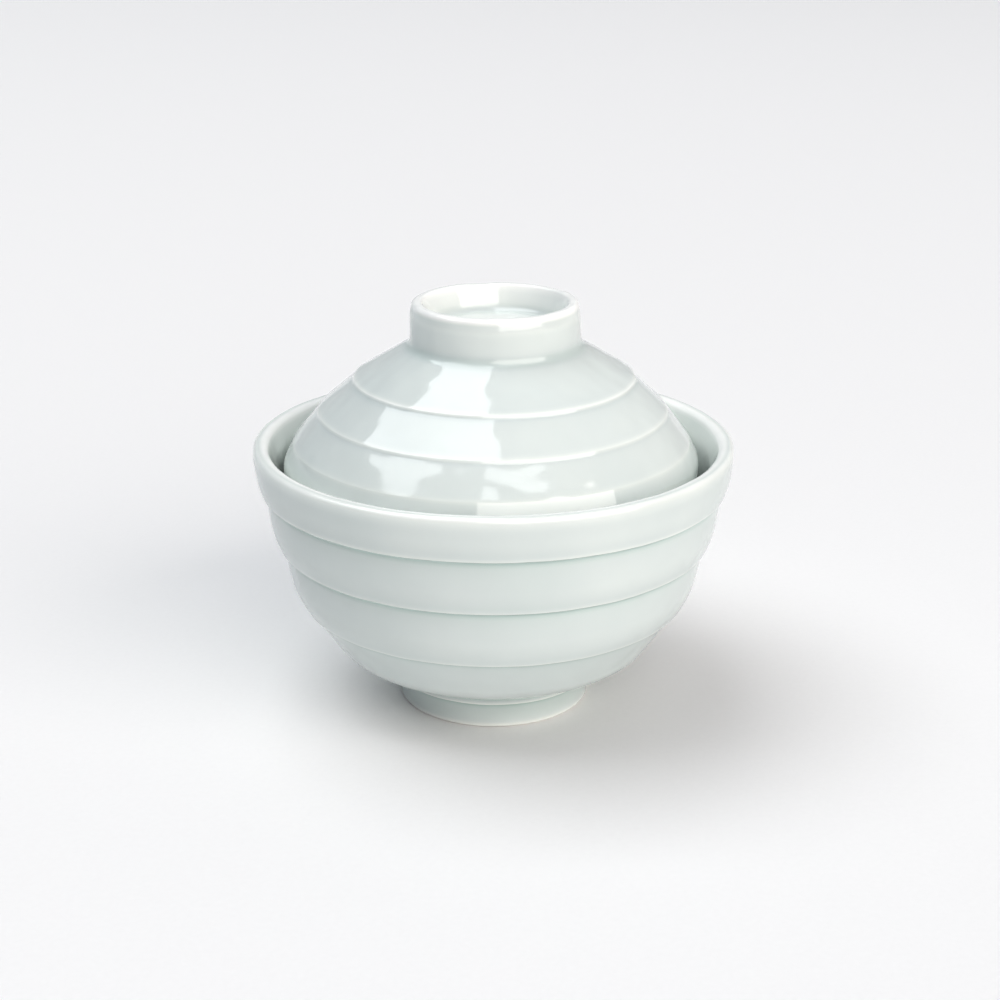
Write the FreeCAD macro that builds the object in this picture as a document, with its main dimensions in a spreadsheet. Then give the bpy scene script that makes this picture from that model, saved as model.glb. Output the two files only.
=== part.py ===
import FreeCAD, Part
import os
import Sketcher

# Lidded rice bowl in thrown and turned porcelain: a footed bowl and a lid that nests inside its rim.
# Millimetres, +Z up, origin at the centre of the foot ring's resting plane.

doc = FreeCAD.newDocument("LiddedRiceBowl")

# ---------------------------------------------------------------------------------------------
# Driving dimensions: alias, value in mm, meaning
# ---------------------------------------------------------------------------------------------
DIMENSIONS = [
    ("rim_radius", 60.5, "bowl: outside radius of the lip"),
    ("bowl_height", 69.0, "bowl: top of the lip"),
    ("lip_width", 3.6, "bowl: thickness of the lip"),
    ("lip_round", 1.6, "bowl: rounding of both sides of the lip"),
    ("band_step", 1.1, "bowl: how far each band starts inside the edge above it"),
    ("band_drop", 0.5, "bowl: height of the step under each edge"),
    ("knee_one_radius", 59.6, "bowl: first band, where it starts to roll in"),
    ("knee_one_height", 61.0, "bowl: first band, height of that place"),
    ("edge_one_radius", 58.6, "bowl: lower edge of the first band"),
    ("edge_one_height", 57.9, "bowl: height of that edge"),
    ("knee_two_radius", 56.2, "bowl: second band, where it starts to roll in"),
    ("knee_two_height", 47.5, "bowl: second band, height of that place"),
    ("edge_two_radius", 54.6, "bowl: lower edge of the second band"),
    ("edge_two_height", 43.6, "bowl: height of that edge"),
    ("knee_three_radius", 51.5, "bowl: third band, where it starts to roll in"),
    ("knee_three_height", 32.4, "bowl: third band, height of that place"),
    ("edge_three_radius", 49.0, "bowl: lower edge of the third band"),
    ("edge_three_height", 28.0, "bowl: height of that edge"),
    ("belly_radius", 39.6, "bowl: turn of the lowest band towards the foot"),
    ("belly_height", 15.0, "bowl: height of that turn"),
    ("belly_round", 12.0, "bowl: rounding of that turn"),
    ("knee_round", 9.0, "bowl: rounding where the three upper bands roll in"),
    ("edge_round", 0.45, "both: softening of the band edges by the glaze"),
    ("foot_radius", 24.4, "bowl: outside radius of the foot ring on the table"),
    ("foot_top_radius", 24.8, "bowl: outside radius of the foot ring at its top"),
    ("foot_height", 6.8, "bowl: height of the foot ring's outside wall"),
    ("foot_wall", 3.8, "bowl: thickness of the foot ring"),
    ("foot_recess", 7.0, "bowl: depth of the recess inside the foot ring"),
    ("foot_round", 0.7, "bowl: rounding of the foot ring's resting edge"),
    ("collar_radius", 25.9, "bowl: narrow collar between the foot ring and the lowest band"),
    ("collar_height", 9.2, "bowl: top of that collar"),
    ("inner_seat_radius", 51.65, "bowl: radius of the inside wall where the lid rests"),
    ("inner_seat_height", 51.6, "bowl: height of that place"),
    ("inner_waist_radius", 44.8, "bowl: radius of the inside wall lower down"),
    ("inner_waist_height", 28.0, "bowl: height of that place"),
    ("inner_belly_radius", 36.5, "bowl: turn of the inside wall above the belly"),
    ("inner_belly_height", 18.3, "bowl: height of that turn"),
    ("inner_heel_radius", 22.0, "bowl: turn of the inside wall into the floor"),
    ("inner_heel_height", 12.8, "bowl: height of that turn"),
    ("floor_height", 12.0, "bowl: top of the floor at the centre"),
    ("inner_round", 16.0, "bowl: rounding of the inside"),
    ("knob_radius", 20.8, "lid: outside radius of the knob ring at its top"),
    ("knob_base_radius", 21.2, "lid: outside radius of the knob ring at its foot"),
    ("lid_top", 104.3, "lid: top of the knob ring"),
    ("knob_wall", 2.6, "lid: thickness of the knob ring at its top"),
    ("knob_round", 1.2, "lid: rounding of both sides of the knob ring's top"),
    ("cup_radius", 15.2, "lid: radius of the cup inside the knob ring at its floor"),
    ("cup_depth", 6.4, "lid: depth of that cup"),
    ("knob_foot_height", 93.4, "lid: height where the knob ring stands on the lid"),
    ("knob_foot_round", 2.2, "lid: hollow fillet at the foot of the knob ring"),
    ("ridge_one_radius", 34.9, "lid: first ridge"),
    ("ridge_one_height", 85.1, "lid: height of the first ridge"),
    ("ridge_two_radius", 43.4, "lid: second ridge"),
    ("ridge_two_height", 77.0, "lid: height of the second ridge"),
    ("ridge_three_radius", 49.6, "lid: third ridge"),
    ("ridge_three_height", 69.1, "lid: height of the third ridge"),
    ("ridge_step", 0.35, "lid: how far each band starts outside the ridge above it"),
    ("ridge_drop", 0.95, "lid: how far each band starts below the ridge above it"),
    ("skirt_radius", 52.6, "lid: outside radius of the lowest band at the bowl's lip"),
    ("skirt_height", 63.8, "lid: height of that place"),
    ("skirt_round", 6.0, "lid: rounding where the skirt turns down"),
    ("seat_radius", 51.3, "lid: outside radius of the resting edge"),
    ("seat_height", 51.6, "lid: height of the resting edge"),
    ("seat_width", 3.0, "lid: thickness of the resting edge"),
    ("seat_round", 1.2, "lid: rounding of the resting edge"),
    ("lid_inner_radius", 48.2, "lid: turn of the inside wall under the third ridge"),
    ("lid_inner_height", 64.5, "lid: height of that turn"),
    ("lid_shoulder_radius", 33.0, "lid: turn of the inside wall under the first ridge"),
    ("lid_shoulder_height", 82.0, "lid: height of that turn"),
    ("lid_crown_radius", 17.0, "lid: turn of the inside wall into the ceiling"),
    ("lid_crown_height", 91.2, "lid: height of that turn"),
    ("lid_ceiling", 92.0, "lid: height of the ceiling at the centre"),
    ("lid_inner_round", 14.0, "lid: rounding of the inside"),
    ("lid_lift", 0.0, "lid: height above its resting place"),
]

dims = doc.addObject("Spreadsheet::Sheet", "Dims")
for row, (alias, value, meaning) in enumerate(DIMENSIONS, start=1):
    dims.set("A%d" % row, meaning)
    dims.set("B%d" % row, str(value))
    dims.setAlias("B%d" % row, alias)
doc.recompute()


def size(expression):
    """Value in mm of an expression such as 'rim_radius - lip_width', read from the sheet."""
    total = 0.0
    sign = 1.0
    for word in expression.split():
        if word == "+":
            sign = 1.0
        elif word == "-":
            sign = -1.0
        else:
            total += sign * (getattr(dims, word) if word[0].isalpha() else float(word))
    return total


def bound(expression):
    """The same expression as a formula that follows the sheet."""
    return " ".join("Dims." + word if word[0].isalpha() else word for word in expression.split())


def axis_plane(body, role):
    return [feature for feature in body.Origin.OriginFeatures if feature.Role == role][0]


def place_corner(sketch, index, direction, expression):
    """Hold one coordinate of a corner; a corner on the axis is held to the axis itself."""
    if expression == "0":
        on_axis = -2 if direction == "DistanceX" else -1
        sketch.addConstraint(Sketcher.Constraint("PointOnObject", index, 1, on_axis))
        return
    number = sketch.addConstraint(Sketcher.Constraint(direction, index, 1, size(expression)))
    sketch.setExpression("Constraints[%d]" % number, bound(expression))


def turned_body(name, outline):
    """A body turned about Z from a closed half section, given as (radius, height) expressions."""
    body = doc.addObject("PartDesign::Body", name)
    body.Label = name
    sketch = body.newObject("Sketcher::SketchObject", name + "_section")
    sketch.AttachmentSupport = [(axis_plane(body, "XZ_Plane"), "")]
    sketch.MapMode = "FlatFace"
    corners = [FreeCAD.Vector(size(radius), size(height), 0) for radius, height in outline]
    count = len(corners)
    for index in range(count):
        sketch.addGeometry(Part.LineSegment(corners[index], corners[(index + 1) % count]), False)
    for index in range(count):
        sketch.addConstraint(Sketcher.Constraint("Coincident", index, 2, (index + 1) % count, 1))
    for index, (radius, height) in enumerate(outline):
        place_corner(sketch, index, "DistanceX", radius)
        place_corner(sketch, index, "DistanceY", height)
    doc.recompute()
    turned = body.newObject("PartDesign::Revolution", name + "_turned")
    turned.Profile = sketch
    turned.ReferenceAxis = (sketch, ["V_Axis"])
    turned.Angle = 360.0
    body.Tip = turned
    doc.recompute()
    return body


SAME_PLACE = 1e-4  # two edges closer than this, in mm, are the same one


def circle_edges(shape, corners):
    """Names of the circular edges that pass through the given (radius, height) corners."""
    names = []
    for radius, height in corners:
        for number, edge in enumerate(shape.Edges, start=1):
            curve = edge.Curve
            if not isinstance(curve, Part.Circle):
                continue
            off_radius = abs(curve.Radius - size(radius))
            off_height = abs(curve.Center.z - size(height))
            if off_radius < SAME_PLACE and off_height < SAME_PLACE:
                names.append("Edge%d" % number)
    return names


def soften(body, name, radius_alias, corners):
    """Round the body's circular edges at the given corners."""
    base = body.Tip
    names = circle_edges(base.Shape, corners)
    if len(names) != len(corners):
        raise RuntimeError("%s: found %d of %d edges" % (name, len(names), len(corners)))
    fillet = body.newObject("PartDesign::Fillet", name)
    fillet.Base = (base, names)
    fillet.setExpression("Radius", "Dims." + radius_alias)
    body.Tip = fillet
    doc.recompute()
    if not fillet.isValid():
        raise RuntimeError("%s could not be rounded" % name)


# ---------------------------------------------------------------------------------------------
# Bowl: foot ring, collar and four overlapping bands outside, one smooth hollow inside
# ---------------------------------------------------------------------------------------------
FOOT_INNER = "foot_radius - foot_wall"
LIP_INNER = "rim_radius - lip_width"
BAND_EDGES = [
    ("edge_three_radius", "edge_three_height"),
    ("edge_two_radius", "edge_two_height"),
    ("edge_one_radius", "edge_one_height"),
]
BAND_KNEES = [
    ("knee_three_radius", "knee_three_height"),
    ("knee_two_radius", "knee_two_height"),
    ("knee_one_radius", "knee_one_height"),
]

bowl_outline = [
    ("0", "foot_recess"),
    (FOOT_INNER, "foot_recess"),
    (FOOT_INNER, "0"),
    ("foot_radius", "0"),
    ("foot_top_radius", "foot_height"),
    ("collar_radius", "foot_height"),
    ("collar_radius", "collar_height"),
    ("belly_radius", "belly_height"),
]
for (edge_radius, edge_height), knee in zip(BAND_EDGES, BAND_KNEES):
    bowl_outline.append((edge_radius + " - band_step", edge_height + " - band_drop"))
    bowl_outline.append((edge_radius, edge_height))
    bowl_outline.append(knee)
bowl_outline += [
    ("rim_radius", "bowl_height"),
    (LIP_INNER, "bowl_height"),
    ("inner_seat_radius", "inner_seat_height"),
    ("inner_waist_radius", "inner_waist_height"),
    ("inner_belly_radius", "inner_belly_height"),
    ("inner_heel_radius", "inner_heel_height"),
    ("0", "floor_height"),
]

bowl = turned_body("bowl", bowl_outline)
soften(bowl, "bowl_belly", "belly_round", [("belly_radius", "belly_height")])
soften(bowl, "bowl_hollow", "inner_round", [
    ("inner_seat_radius", "inner_seat_height"),
    ("inner_waist_radius", "inner_waist_height"),
    ("inner_belly_radius", "inner_belly_height"),
    ("inner_heel_radius", "inner_heel_height"),
])
soften(bowl, "bowl_knees", "knee_round", BAND_KNEES)
soften(bowl, "bowl_lip", "lip_round", [("rim_radius", "bowl_height"), (LIP_INNER, "bowl_height")])
soften(bowl, "bowl_edges", "edge_round", BAND_EDGES)
soften(bowl, "bowl_foot", "foot_round", [(FOOT_INNER, "0"), ("foot_radius", "0")])

# ---------------------------------------------------------------------------------------------
# Lid: knob ring with a shallow flared cup, three ridged bands and a skirt that rests inside the bowl
# ---------------------------------------------------------------------------------------------
KNOB_INNER = "knob_radius - knob_wall"
SEAT_INNER = "seat_radius - seat_width"
RIDGES = [
    ("ridge_one_radius", "ridge_one_height"),
    ("ridge_two_radius", "ridge_two_height"),
    ("ridge_three_radius", "ridge_three_height"),
]

lid_outline = [
    ("0", "lid_top - cup_depth"),
    ("cup_radius", "lid_top - cup_depth"),
    (KNOB_INNER, "lid_top"),
    ("knob_radius", "lid_top"),
    ("knob_base_radius", "knob_foot_height"),
]
for ridge_radius, ridge_height in RIDGES:
    lid_outline.append((ridge_radius, ridge_height))
    lid_outline.append((ridge_radius + " + ridge_step", ridge_height + " - ridge_drop"))
lid_outline += [
    ("skirt_radius", "skirt_height"),
    ("seat_radius", "seat_height"),
    (SEAT_INNER, "seat_height"),
    ("lid_inner_radius", "lid_inner_height"),
    ("lid_shoulder_radius", "lid_shoulder_height"),
    ("lid_crown_radius", "lid_crown_height"),
    ("0", "lid_ceiling"),
]

lid = turned_body("lid", lid_outline)
soften(lid, "lid_knob_top", "knob_round", [(KNOB_INNER, "lid_top"), ("knob_radius", "lid_top")])
soften(lid, "lid_knob_foot", "knob_foot_round", [
    ("cup_radius", "lid_top - cup_depth"),
    ("knob_base_radius", "knob_foot_height"),
])
soften(lid, "lid_hollow", "lid_inner_round", [
    ("lid_inner_radius", "lid_inner_height"),
    ("lid_shoulder_radius", "lid_shoulder_height"),
    ("lid_crown_radius", "lid_crown_height"),
])
soften(lid, "lid_skirt", "skirt_round", [("skirt_radius", "skirt_height")])
soften(lid, "lid_ridges", "edge_round", RIDGES)
soften(lid, "lid_seat", "seat_round", [("seat_radius", "seat_height"), (SEAT_INNER, "seat_height")])
lid.setExpression("Placement.Base.z", "Dims.lid_lift")
doc.recompute()

# ---------------------------------------------------------------------------------------------
# Check every object, then write one STEP file for each piece
# ---------------------------------------------------------------------------------------------
for item in doc.Objects:
    if "Invalid" in item.State or "Error" in item.State:
        raise RuntimeError("%s is in state %s" % (item.Name, item.State))

PIECES = [bowl, lid]
for piece in PIECES:
    if piece.Shape.isNull() or not piece.Shape.isValid() or len(piece.Shape.Solids) != 1:
        raise RuntimeError("%s has no sound solid" % piece.Label)

os.makedirs("parts", exist_ok=True)
for piece in PIECES:
    piece.Shape.exportStep("parts/%s.step" % piece.Label)
    box = piece.Shape.optimalBoundingBox()
    print("%s: volume %.1f mm3, z %.2f to %.2f mm, radius %.2f mm"
          % (piece.Label, piece.Shape.Volume, box.ZMin, box.ZMax, box.XMax))
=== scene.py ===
import math

import bmesh
import bpy
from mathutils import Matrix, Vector, noise


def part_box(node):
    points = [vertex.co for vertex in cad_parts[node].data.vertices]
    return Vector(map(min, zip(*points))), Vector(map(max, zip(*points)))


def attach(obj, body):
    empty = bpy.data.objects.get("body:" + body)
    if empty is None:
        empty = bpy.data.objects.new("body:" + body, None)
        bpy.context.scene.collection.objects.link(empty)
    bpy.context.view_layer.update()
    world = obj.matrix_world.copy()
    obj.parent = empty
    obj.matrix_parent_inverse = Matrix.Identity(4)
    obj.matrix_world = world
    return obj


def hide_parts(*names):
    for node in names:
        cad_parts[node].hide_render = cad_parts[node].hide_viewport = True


# Lidded rice bowl in pale celadon porcelain. Both pieces are turned in mesh code from a rounded half
# section. Sections are in millimetres; everything handed to Blender is in metres.

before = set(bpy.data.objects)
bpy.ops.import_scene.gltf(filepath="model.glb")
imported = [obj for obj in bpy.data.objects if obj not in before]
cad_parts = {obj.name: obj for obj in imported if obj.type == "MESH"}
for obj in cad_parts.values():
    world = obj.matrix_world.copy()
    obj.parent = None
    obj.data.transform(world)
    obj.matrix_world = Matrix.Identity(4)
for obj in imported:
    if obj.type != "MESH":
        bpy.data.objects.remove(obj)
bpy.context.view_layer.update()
MM = 0.001


def box_in_mm(node):
    """Lowest and highest corner of a node of the frame."""
    return [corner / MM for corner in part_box(node)]


_, bowl_high = box_in_mm("bowl")
lid_low, lid_high = box_in_mm("lid")

# ---------------------------------------------------------------------------------------------
# Hand-made unevenness, in mm
# ---------------------------------------------------------------------------------------------
UNEVEN_RADIUS = 0.11      # how far a wall wanders in and out
UNEVEN_HEIGHT = 0.16      # how far a ridge wanders up and down
UNEVEN_LENGTH = 28.0      # height over which the wandering changes
BOWL_RIPPLE = 0.09        # height of the soft ripples in the bowl's glaze
LID_RIPPLE = 0.2          # and in the lid's
RIPPLE_LENGTH = 10.0      # size of one ripple
RIPPLE_CREST = 0.6        # the highest crests, as a share of the ripples' height
FINE_RIPPLE = 0.6         # height of the finer ripples on top, as a share of the ripples' height
FINE_RIPPLE_COUNT = 2.2   # how many of them follow one another in the length of one ripple
KNOB_LEAN = 0.45          # how far the knob ring stands off the axis
SKIRT_LEAN = -0.6         # and the lid's skirt, to the other side
LEAN_LOW = 64.0           # between these heights the lean goes from the skirt's to the knob's
LEAN_HIGH = 96.0
HELD_STEP = 8.0           # height over which the unevenness sets in above a resting edge
CALM_RADIUS = 12.0        # the wandering dies away inside this radius, so that the middle stays flat

# ---------------------------------------------------------------------------------------------
# Sizes that come from the frame, less the room that the unevenness needs
# ---------------------------------------------------------------------------------------------
RIM_RADIUS = bowl_high.x - UNEVEN_RADIUS - BOWL_RIPPLE * RIPPLE_CREST
BOWL_HEIGHT = bowl_high.z - UNEVEN_HEIGHT
SEAT_HEIGHT = lid_low.z
LID_TOP = lid_high.z - UNEVEN_HEIGHT - LID_RIPPLE * RIPPLE_CREST

# ---------------------------------------------------------------------------------------------
# Mesh density
# ---------------------------------------------------------------------------------------------
SEGMENTS = 256            # round the axis
STRAIGHT_STEP = 0.9       # along the section, in mm
ARC_TURN = math.radians(9)
ON_AXIS = 1e-6            # a point nearer the axis than this is a single vertex

# ---------------------------------------------------------------------------------------------
# The bowl's section, in mm. A pair is (radius, height).
# ---------------------------------------------------------------------------------------------
LIP_WIDTH = 3.5
LIP_SHOULDER = 2.0        # how far below its top the lip's outside starts to round over
FOOT_RADIUS = 24.4
FOOT_FLARE = 0.4          # how much wider the foot ring is at its top
FOOT_WALL = 3.8
FOOT_HEIGHT = 6.8
FOOT_RECESS = 7.0
FOOT_ROUND = 0.8
COLLAR_RADIUS = 25.9
COLLAR_HEIGHT = 9.2
BELLY = (39.6, 15.0)
BAND_STEP = 1.1           # each band of the bowl starts this far inside the edge above it
BAND_DROP = 0.5
BAND_EDGES = [(49.0, 28.0), (54.6, 43.6), (58.6, 57.9)]
BAND_KNEES = [(51.5, 32.4), (56.2, 47.5), (59.6, 61.0)]
KNEE_ROUND = 20.0
EDGE_ROUND = 0.6
CREASE_ROUND = 1.1
INSIDE_FLARE = (54.4, 63.5)       # above this the inside wall opens towards the lip
INSIDE_SEAT_RADIUS = 51.65        # inside wall at the lid's resting edge
INSIDE_WAIST = (44.8, 28.0)
INSIDE_BELLY = (36.5, 18.3)
INSIDE_HEEL = (22.0, 12.8)
INSIDE_FLOOR = (0, 12.0)
INSIDE_ROUND = 16.0

# ---------------------------------------------------------------------------------------------
# The lid's section
# ---------------------------------------------------------------------------------------------
CEILING = (0, 92.0)
CEILING_EDGE = (17.0, 91.2)
LID_SHOULDER = (33.0, 82.0)
LID_TURN = (48.2, 64.5)           # inside wall under the lowest ridge
LID_ROUND = 14.0
SEAT_RADIUS = 51.3
SEAT_WIDTH = 3.0
SEAT_ROUND = 1.2
SKIRT = (52.2, 63.8)
RIDGES = [(49.6, 69.1), (43.4, 77.0), (34.9, 85.1)]
RIDGE_STEP = 0.35         # each band of the lid starts this far outside the ridge above it
RIDGE_DROP = 0.75
KNOB_RADIUS = 20.8
KNOB_BASE_RADIUS = 21.2
KNOB_FOOT_HEIGHT = 93.4
KNOB_WALL = 2.6
CUP_RADIUS = 15.2
CUP_DEPTH = 6.4


def bowl_section():
    """From the middle of the foot's recess, out and up to the lip, then down the inside to the floor.
    Each corner is (radius, height, rounding)."""
    foot_inner = FOOT_RADIUS - FOOT_WALL
    corners = [
        (0, FOOT_RECESS, 0),
        (foot_inner, FOOT_RECESS, 1.6),
        (foot_inner + 0.4, 0, FOOT_ROUND),
        (FOOT_RADIUS, 0, FOOT_ROUND),
        (FOOT_RADIUS - 0.1, FOOT_HEIGHT * 0.5, 14),
        (FOOT_RADIUS + FOOT_FLARE, FOOT_HEIGHT, 0.35),
        (COLLAR_RADIUS, FOOT_HEIGHT + 0.1, 0.4),
        (COLLAR_RADIUS + 0.1, COLLAR_HEIGHT, 0.8),
        (*BELLY, 12),
    ]
    for (edge_radius, edge_height), knee in zip(BAND_EDGES, BAND_KNEES):
        corners.append((edge_radius - BAND_STEP, edge_height - BAND_DROP, CREASE_ROUND))
        corners.append((edge_radius, edge_height, EDGE_ROUND))
        corners.append((*knee, KNEE_ROUND))
    corners += [
        (RIM_RADIUS, BOWL_HEIGHT - LIP_SHOULDER, 4),
        (RIM_RADIUS - 0.3, BOWL_HEIGHT, 1.3),
        (RIM_RADIUS - LIP_WIDTH, BOWL_HEIGHT, 1.9),
        (*INSIDE_FLARE, 12),
        (INSIDE_SEAT_RADIUS, SEAT_HEIGHT, INSIDE_ROUND),
        (*INSIDE_WAIST, INSIDE_ROUND),
        (*INSIDE_BELLY, INSIDE_ROUND),
        (*INSIDE_HEEL, INSIDE_ROUND),
        (*INSIDE_FLOOR, 0),
    ]
    return corners


def lid_section():
    """From the ceiling, down the inside to the resting edge, then up over the bands to the knob's cup."""
    knob_inner = KNOB_RADIUS - KNOB_WALL
    cup_floor = LID_TOP - CUP_DEPTH
    corners = [
        (*CEILING, 0),
        (*CEILING_EDGE, LID_ROUND),
        (*LID_SHOULDER, LID_ROUND),
        (*LID_TURN, LID_ROUND),
        (SEAT_RADIUS - SEAT_WIDTH, SEAT_HEIGHT, SEAT_ROUND),
        (SEAT_RADIUS, SEAT_HEIGHT, SEAT_ROUND),
        (*SKIRT, 7),
    ]
    for ridge_radius, ridge_height in RIDGES:
        corners.append((ridge_radius + RIDGE_STEP, ridge_height - RIDGE_DROP, 1.2))
        corners.append((ridge_radius, ridge_height, 0.5))
    corners += [
        (KNOB_BASE_RADIUS, KNOB_FOOT_HEIGHT, 2.8),
        (KNOB_RADIUS + 0.1, LID_TOP - 3.0, 7),
        (KNOB_RADIUS - 0.5, LID_TOP, 1.1),
        (knob_inner, LID_TOP, 0.8),
        (CUP_RADIUS, cup_floor, 2.2),
        (0, cup_floor + 0.3, 0),
    ]
    return corners


def straight(start, end):
    """Points from start up to, but not including, end."""
    count = max(1, math.ceil((end - start).length / STRAIGHT_STEP))
    return [start.lerp(end, index / count) for index in range(count)]


def rounded_corner(before, corner, after, rounding):
    """The arc that replaces a corner, as points from its first tangent point to its last."""
    back = (before - corner).normalized()
    on = (after - corner).normalized()
    turn = math.pi - back.angle(on)
    if rounding == 0 or turn < 1e-3:
        return [corner]
    reach = rounding * math.tan(turn / 2)
    middle = corner + (back + on).normalized() * (rounding / math.cos(turn / 2))
    first = corner + back * reach - middle
    last = corner + on * reach - middle
    count = max(2, math.ceil(turn / ARC_TURN), math.ceil(turn * rounding / STRAIGHT_STEP))
    points = []
    for index in range(count + 1):
        share = index / count
        first_weight = math.sin((1 - share) * turn) / math.sin(turn)
        last_weight = math.sin(share * turn) / math.sin(turn)
        points.append(middle + first * first_weight + last * last_weight)
    return points


def outline_points(corners):
    """The rounded section as points a short step apart."""
    places = [Vector((radius, height)) for radius, height, _ in corners]
    runs = [[places[0]]]
    for before, corner, after, (_, _, rounding) in zip(places, places[1:], places[2:], corners[1:]):
        runs.append(rounded_corner(before, corner, after, rounding))
    runs.append([places[-1]])
    points = []
    for run, following in zip(runs, runs[1:]):
        points += run[:-1]
        points += straight(run[-1], following[0])
    points.append(places[-1])
    return points


# ---------------------------------------------------------------------------------------------
# How thick the glaze lies, with painted light and shade: it runs thin over convex edges and pools in
# hollows, the pool below each edge is partly painted shade, and the insides and the lid are painted
# lighter
# ---------------------------------------------------------------------------------------------
EDGE_WIDTH = 0.5          # mm over which a sharp turn thins or thickens the glaze
POOL_AND_SHADE_WIDTH = 2.4          # mm over which it pools in a hollow, and over which the painted shade below an edge spreads
EDGE_POOLING = 0.5        # how strongly a sharp hollow thickens the glaze
HOLLOW_POOLING_AND_SHADE = 0.45     # and the wider pool round it: partly real pooling, partly painted shade below each edge
HOLLOW_PAINTED_LIGHT = 0.28    # painted light: how much lighter the tone is made inside the bowl and in the knob's cup


def bends(points):
    """Turn at each point of the section, in radians: positive where the surface is hollow."""
    result = [0.0]
    for before, here, after in zip(points, points[1:], points[2:]):
        result.append((here - before).angle_signed(after - here, 0.0))
    result.append(0.0)
    return result


def spread(points, values, width):
    """Values smoothed along the section with a bell of the given width, in turn per mm."""
    lengths = [0.0]
    for before, here in zip(points, points[1:]):
        lengths.append(lengths[-1] + (here - before).length)
    result = []
    for place in lengths:
        total = 0.0
        for other, value in zip(lengths, values):
            distance = (place - other) / width
            if abs(distance) < 4:
                total += value * math.exp(-distance * distance / 2)
        result.append(total / (width * math.sqrt(2 * math.pi)))
    return result


def glaze_depths_with_painted_light(points, even_depth_and_painted_light, edge_thinning):
    """0 where the glaze is thinnest, 1 where it pools. The wider pool is partly real pooling and partly
    painted shade below each edge. In the hollow that follows the highest point of the section the tone is
    painted lighter: painted light."""
    turns = bends(points)
    sharp = spread(points, turns, EDGE_WIDTH)
    # the wider pool: partly real pooling, partly painted shade below each edge
    wide_pool_and_shade = spread(points, [max(turn, 0.0) for turn in turns], POOL_AND_SHADE_WIDTH)
    top = max(range(len(points)), key=lambda index: points[index].y)
    depths = []
    for index, (bend, pool_and_shade) in enumerate(zip(sharp, wide_pool_and_shade)):
        # painted light: inside the bowl and the knob's cup the tone is made lighter
        even = even_depth_and_painted_light if index <= top else even_depth_and_painted_light - HOLLOW_PAINTED_LIGHT
        depth = even + edge_thinning * min(bend, 0.0)
        depth += EDGE_POOLING * max(bend, 0.0) + HOLLOW_POOLING_AND_SHADE * pool_and_shade
        depths.append(min(1.0, max(0.0, depth)))
    return depths


# ---------------------------------------------------------------------------------------------
# Turning a section into a mesh
# ---------------------------------------------------------------------------------------------
def wander(angle, height, seed, turns=1.0):
    """Smooth unevenness round the pot, the same each run: from about -1 to 1."""
    place = Vector((math.cos(angle) * turns, math.sin(angle) * turns, height / UNEVEN_LENGTH + seed))
    return noise.noise(place)


def ripples(place):
    """Soft ripples with finer ones on top: from about -1 to 1."""
    return noise.noise(place) + FINE_RIPPLE * noise.noise(place * FINE_RIPPLE_COUNT)


def smooth_share(value, low, high):
    """0 below low, 1 above high, and a soft rise between."""
    share = min(1.0, max(0.0, (value - low) / (high - low)))
    return share * share * (3 - 2 * share)


def uneven_place(pot, point, normal, angle):
    """Where a point of the section lies at an angle round the pot, in mm, with the unevenness added.
    The unevenness dies away towards the height where the pot rests."""
    seed = pot["seed"]
    free = smooth_share(point.y, pot["held_below"], pot["held_below"] + HELD_STEP)
    radius = point.x
    height = point.y
    if radius >= ON_AXIS:
        wall_place = Vector((math.cos(angle) * radius, math.sin(angle) * radius, height))
        ripple = pot["ripple_height"] * ripples(wall_place / RIPPLE_LENGTH + Vector((seed, 0, 0)))
        calm = smooth_share(radius, 0, CALM_RADIUS)
        in_and_out = UNEVEN_RADIUS * wander(angle, height, seed) * calm
        up_and_down = UNEVEN_HEIGHT * wander(angle, height, seed + 9) * calm
        radius += free * (in_and_out + ripple * normal.x)
        height += free * (up_and_down + ripple * normal.y)
    lean_low, lean_high = pot["lean"]
    offset = free * (lean_low + (lean_high - lean_low) * smooth_share(height, LEAN_LOW, LEAN_HIGH))
    return radius * math.cos(angle) + offset, radius * math.sin(angle), height


def is_bare(pot, point, angle):
    """A pot's resting edge is wiped clean of glaze, up to a slightly wavering line."""
    line = pot["bare_height"] + pot["bare_waver"] * wander(angle, 0, pot["bare_seed"], turns=3.0)
    return point.y < line


def section_normals(points):
    """The direction out of the clay at each point of the section."""
    normals = []
    for before, after in zip(points[:1] + points[:-1], points[1:] + points[-1:]):
        along = (after - before).normalized()
        normals.append(Vector((along.y, -along.x)))
    return normals


def join_rings(work, lower, upper):
    """Smooth faces between two rings of vertices; a ring on the axis is a single vertex."""
    for step in range(SEGMENTS):
        following = (step + 1) % SEGMENTS
        if len(lower) == 1:
            corners = (lower[0], upper[following], upper[step])
        elif len(upper) == 1:
            corners = (lower[step], lower[following], upper[0])
        else:
            corners = (lower[step], lower[following], upper[following], upper[step])
        work.faces.new(corners).smooth = True


def placed(name, data):
    """A new object in the scene."""
    thing = bpy.data.objects.new(name, data)
    bpy.context.scene.collection.objects.link(thing)
    return thing


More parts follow.
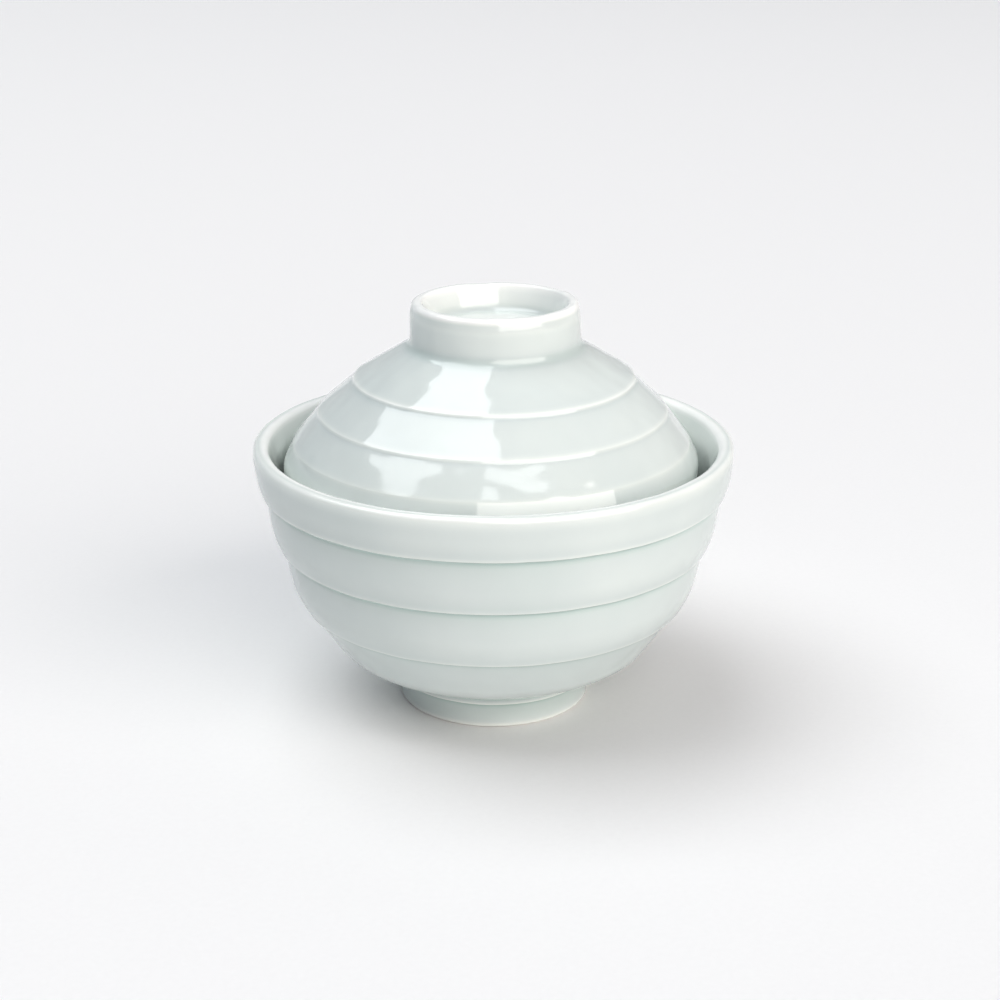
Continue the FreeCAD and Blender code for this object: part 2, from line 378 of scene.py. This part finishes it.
def turned_piece(pot):
    """Turn a pot's section about Z. Its vertices carry the glaze's depth, with painted light and shade
    mixed in, and where the clay is bare.
    """
    points = outline_points(pot["corners"])
    depths = glaze_depths_with_painted_light(points, pot["even_depth_and_painted_light"], pot["edge_thinning"])
    work = bmesh.new()
    depth_layer = work.verts.layers.float.new("glaze_depth_and_painted_light")
    bare_layer = work.verts.layers.float.new("bare_clay")
    rings = []
    for point, normal, depth in zip(points, section_normals(points), depths):
        ring = []
        for step in range(1 if point.x < ON_AXIS else SEGMENTS):
            angle = 2 * math.pi * step / SEGMENTS
            place = uneven_place(pot, point, normal, angle)
            vertex = work.verts.new([distance * MM for distance in place])
            vertex[depth_layer] = depth
            vertex[bare_layer] = 1.0 if is_bare(pot, point, angle) else 0.0
            ring.append(vertex)
        rings.append(ring)
    for lower, upper in zip(rings, rings[1:]):
        join_rings(work, lower, upper)
    mesh = bpy.data.meshes.new(pot["name"])
    work.to_mesh(mesh)
    work.free()
    return placed(pot["name"], mesh)


# ---------------------------------------------------------------------------------------------
# Node trees
# ---------------------------------------------------------------------------------------------
MIX_COLOURS = (6, 7)      # sockets of a Mix node that mixes colours
MIX_RESULT = 2


def linear(red, green, blue):
    """A colour given as 8-bit sRGB, for a node socket."""
    channels = []
    for value in (red, green, blue):
        share = value / 255
        channels.append(share / 12.92 if share <= 0.04045 else ((share + 0.055) / 1.055) ** 2.4)
    return (*channels, 1.0)


class Nodes:
    """A node tree, with short calls to add and join nodes."""

    def __init__(self, tree):
        self.tree = tree

    def add(self, kind, **settings):
        node = self.tree.nodes.new(kind)
        for name, value in settings.items():
            setattr(node, name, value)
        return node

    def set(self, socket, value):
        """Join a socket to another one, or give it a plain value."""
        if isinstance(value, bpy.types.NodeSocket):
            self.tree.links.new(value, socket)
        else:
            socket.default_value = value

    def fit(self, value, low, high, new_low, new_high, **settings):
        """A value moved from one range to another, and kept inside it."""
        node = self.add("ShaderNodeMapRange", clamp=True, **settings)
        for socket, number in zip(node.inputs, (value, low, high, new_low, new_high)):
            self.set(socket, number)
        return node.outputs[0]

    def mix(self, share, first, second):
        node = self.add("ShaderNodeMix", data_type="RGBA")
        self.set(node.inputs["Factor"], share)
        for index, colour in zip(MIX_COLOURS, (first, second)):
            self.set(node.inputs[index], colour)
        return node.outputs[MIX_RESULT]


class Shader(Nodes):
    """A material's node tree."""

    def __init__(self, name):
        self.material = bpy.data.materials.new(name)
        self.material.use_nodes = True
        super().__init__(self.material.node_tree)
        self.surface = self.tree.nodes["Principled BSDF"].inputs
        self.place = self.add("ShaderNodeTexCoord").outputs["Object"]

    def calculate(self, operation, first, second, third=0.0):
        node = self.add("ShaderNodeMath", operation=operation)
        for socket, value in zip(node.inputs, (first, second, third)):
            self.set(socket, value)
        return node.outputs[0]

    def attribute(self, name):
        return self.add("ShaderNodeAttribute", attribute_name=name).outputs["Fac"]

    def clouds(self, scale, detail=2.0):
        """Cloudy noise, with its scale in features per metre."""
        node = self.add("ShaderNodeTexNoise")
        self.set(node.inputs["Vector"], self.place)
        self.set(node.inputs["Scale"], scale)
        self.set(node.inputs["Detail"], detail)
        self.set(node.inputs["Roughness"], 0.5)
        return node.outputs["Fac"]

    def ramp(self, value, stops):
        """A colour from a list of (position, 8-bit sRGB colour) stops."""
        node = self.add("ShaderNodeValToRGB")
        self.set(node.inputs["Fac"], value)
        elements = node.color_ramp.elements
        while len(elements) < len(stops):
            elements.new(0.5)
        for element, (position, colour) in zip(elements, stops):
            element.position = position
            element.color = linear(*colour)
        return node.outputs["Color"]

    def specks(self, scale, size, kept, strength):
        """Small round dots of a given strength: one in each kept cell of a Voronoi pattern."""
        cells = self.add("ShaderNodeTexVoronoi")
        self.set(cells.inputs["Vector"], self.place)
        self.set(cells.inputs["Scale"], scale)
        dot = self.fit(cells.outputs["Distance"], size * 0.5, size, 1.0, 0.0)
        chosen = self.calculate("LESS_THAN", cells.outputs["Color"], kept)
        return self.calculate("MULTIPLY", self.calculate("MULTIPLY", dot, chosen), strength)

    def bump(self, height, distance, strength):
        node = self.add("ShaderNodeBump")
        self.set(node.inputs["Height"], height)
        self.set(node.inputs["Distance"], distance)
        self.set(node.inputs["Strength"], strength)
        self.set(self.surface["Normal"], node.outputs["Normal"])


# ---------------------------------------------------------------------------------------------
# Materials
# ---------------------------------------------------------------------------------------------
GLAZE_TONES = [           # by the glaze's depth, which also carries painted light and shade
    (0.0, (242, 244, 241)),
    (0.25, (221, 227, 223)),
    (0.5, (206, 214, 212)),
    (0.75, (193, 206, 202)),
    (1.0, (173, 192, 187)),
]
CLOUD_DEPTH = 0.22        # how much the glaze's depth varies from place to place


def celadon_glaze():
    """Pale blue-green glaze: nearly white where thin, deeper where it pools, with a few iron specks and
    more that are finer and fainter. Its tone also carries painted shade below the edges and painted light
    inside the hollows and on the lid. Where the clay is bare it is matt."""
    shader = Shader("celadon_glaze")
    variation = shader.calculate("MULTIPLY_ADD", shader.clouds(32.0), CLOUD_DEPTH, -CLOUD_DEPTH / 2)
    # the depth carries painted shade below edges and painted light inside the hollows and on the lid
    depth = shader.calculate("ADD", shader.attribute("glaze_depth_and_painted_light"), variation)
    glaze = shader.ramp(depth, GLAZE_TONES)
    coarse_specks = shader.specks(scale=62.0, size=0.016, kept=0.3, strength=0.55)
    glaze = shader.mix(coarse_specks, glaze, linear(150, 140, 112))
    fine_specks = shader.specks(scale=240.0, size=0.03, kept=0.35, strength=0.22)
    glaze = shader.mix(fine_specks, glaze, linear(170, 172, 150))
    clay = shader.mix(shader.clouds(900.0, detail=4.0), linear(222, 222, 217), linear(233, 233, 229))
    bare = shader.attribute("bare_clay")
    shader.set(shader.surface["Base Color"], shader.mix(bare, glaze, clay))
    gloss = shader.fit(shader.clouds(120.0, detail=3.0), 0.3, 0.7, 0.05, 0.11)
    matt = shader.calculate("MULTIPLY", bare, 0.7)
    shader.set(shader.surface["Roughness"], shader.calculate("ADD", gloss, matt))
    shader.set(shader.surface["IOR"], 1.6)
    peel = shader.clouds(420.0)
    grain = shader.calculate("MULTIPLY", shader.clouds(3000.0, detail=3.0), bare)
    shader.bump(shader.calculate("ADD", peel, grain), distance=0.00002, strength=0.6)
    return shader.material


def studio_paper():
    """The pale floor: smooth white card with a barely visible tooth."""
    shader = Shader("studio_paper")
    tooth = shader.clouds(700.0, detail=4.0)
    tone = shader.mix(tooth, linear(234, 234, 233), linear(238, 238, 237))
    shader.set(shader.surface["Base Color"], tone)
    shader.set(shader.surface["Roughness"], shader.fit(tooth, 0.3, 0.7, 0.6, 0.7))
    shader.bump(tooth, distance=0.00004, strength=0.3)
    return shader.material


# ---------------------------------------------------------------------------------------------
# The two pieces
# ---------------------------------------------------------------------------------------------
PIECES = [
    {
        "name": "glazed_bowl",
        "node": "bowl",
        "corners": bowl_section(),
        "held_below": 0.8,
        "even_depth_and_painted_light": 0.5,
        "edge_thinning": 0.5,
        "ripple_height": BOWL_RIPPLE,
        "lean": (0.0, 0.0),
        "bare_height": 0.3,
        "bare_waver": 0.15,
        "bare_seed": 31,
        "seed": 3,
    },
    {
        "name": "glazed_lid",
        "node": "lid",
        "corners": lid_section(),
        "held_below": SEAT_HEIGHT + 1.5,
        # painted light: the lid's lower even depth makes its upward-facing top lighter than the bowl
        "even_depth_and_painted_light": 0.4,
        "edge_thinning": 0.8,
        "ripple_height": LID_RIPPLE,
        "lean": (SKIRT_LEAN, KNOB_LEAN),
        "bare_height": SEAT_HEIGHT + 1.1,
        "bare_waver": 0.25,
        "bare_seed": 37,
        "seed": 17,
    },
]
glaze = celadon_glaze()
for pot in PIECES:
    piece = turned_piece(pot)
    piece.data.materials.append(glaze)
    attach(piece, pot["node"])
    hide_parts(pot["node"])

# ---------------------------------------------------------------------------------------------
# Studio: floor, lights, camera, in metres
# ---------------------------------------------------------------------------------------------
FLOOR_RADIUS = 3.2
LIGHT_DISTANCE = 14.0     # far enough to light the whole floor evenly
OVERHEAD_COLOUR = (0.955, 0.975, 0.99)
WINDOW_COLOUR = (1.0, 0.93, 0.885)
ROOM_DARK = (0.072, 0.088, 0.13, 1)
ROOM_BRIGHT = (0.612, 0.614, 0.622, 1)
BACKDROP = (1.0, 1.0, 1.0, 1)
ROOM_BACK = (0.1, 1.0, 0.0)       # towards the bright end of the room
CAMERA_PLACE = (0, -0.4432, 0.2103)
LENS = 66.6
LOOK_DOWN = math.radians(19.65)
LOOK_RIGHT = 0.0036


def studio_floor():
    mesh = bpy.data.meshes.new("studio_floor")
    work = bmesh.new()
    bmesh.ops.create_circle(work, cap_ends=True, radius=FLOOR_RADIUS, segments=96)
    work.to_mesh(mesh)
    work.free()
    mesh.materials.append(studio_paper())
    placed("studio_floor", mesh)


def panel_light(name, centre, width, height, brightness, colour):
    """A soft rectangular light that faces down. brightness is the radiance of its face."""
    data = bpy.data.lights.new(name, "AREA")
    data.shape = "RECTANGLE"
    data.size = width
    data.size_y = height
    data.energy = brightness * width * height * math.pi
    data.color = colour
    light = placed(name, data)
    light.location = centre
    light.visible_camera = False
    return light


def ceiling_pane(name, left, right, near, far, brightness):
    """A pane overhead, given by its edges as seen from the bowl: sideways and backward over upward."""
    centre = Vector(((left + right) / 2, (near + far) / 2, 1.0)) * LIGHT_DISTANCE
    width = (right - left) * LIGHT_DISTANCE
    depth = (far - near) * LIGHT_DISTANCE
    panel_light(name, centre, width, depth, brightness, OVERHEAD_COLOUR)


def side_window(name, turn, rise, half_width, half_height, brightness):
    """A window out to the side that faces the bowl, given by angles as seen from the bowl. turn is from
    the front to the right."""
    away = Vector((math.sin(turn) * math.cos(rise), -math.cos(turn) * math.cos(rise), math.sin(rise)))
    width = 2 * LIGHT_DISTANCE * math.tan(half_width)
    height = 2 * LIGHT_DISTANCE * math.tan(half_height)
    light = panel_light(name, away * LIGHT_DISTANCE, width, height, brightness, WINDOW_COLOUR)
    light.rotation_euler = (-away).to_track_quat("-Z", "Y").to_euler()


def room_air():
    """The light of the room: dim in front and on the left, brighter behind the bowl. The camera itself
    sees a white backdrop."""
    world = bpy.data.worlds.new("room_air")
    world.use_nodes = True
    nodes = Nodes(world.node_tree)
    background = nodes.tree.nodes["Background"].inputs
    along = nodes.add("ShaderNodeVectorMath", operation="DOT_PRODUCT")
    nodes.set(along.inputs[0], nodes.add("ShaderNodeTexCoord").outputs["Generated"])
    nodes.set(along.inputs[1], ROOM_BACK)
    share = nodes.fit(along.outputs["Value"], -0.35, 0.85, 0.0, 1.0, interpolation_type="SMOOTHSTEP")
    room = nodes.mix(share, ROOM_DARK, ROOM_BRIGHT)
    seen = nodes.add("ShaderNodeLightPath").outputs["Is Camera Ray"]
    nodes.set(background["Color"], nodes.mix(seen, room, BACKDROP))
    nodes.set(background["Strength"], 1.0)
    return world


def front_camera():
    data = bpy.data.cameras.new("camera")
    data.lens = LENS
    camera = placed("camera", data)
    camera.location = CAMERA_PLACE
    camera.rotation_euler = (math.pi / 2 - LOOK_DOWN, 0, -LOOK_RIGHT)
    return camera


studio_floor()
ceiling_pane("window_overhead", left=-1.05, right=0.0, near=-0.44, far=0.5, brightness=2.95)
ceiling_pane("window_overhead_right", left=0.0, right=0.45, near=-0.62, far=-0.44, brightness=2.5)
side_window(
    "window_front_right",
    turn=math.radians(34),
    rise=math.radians(25),
    half_width=math.radians(34),
    half_height=math.radians(23),
    brightness=3.25,
)
scene = bpy.context.scene
scene.world = room_air()
scene.view_settings.view_transform = "Standard"
scene.view_settings.gamma = 0.8
scene.camera = front_camera()
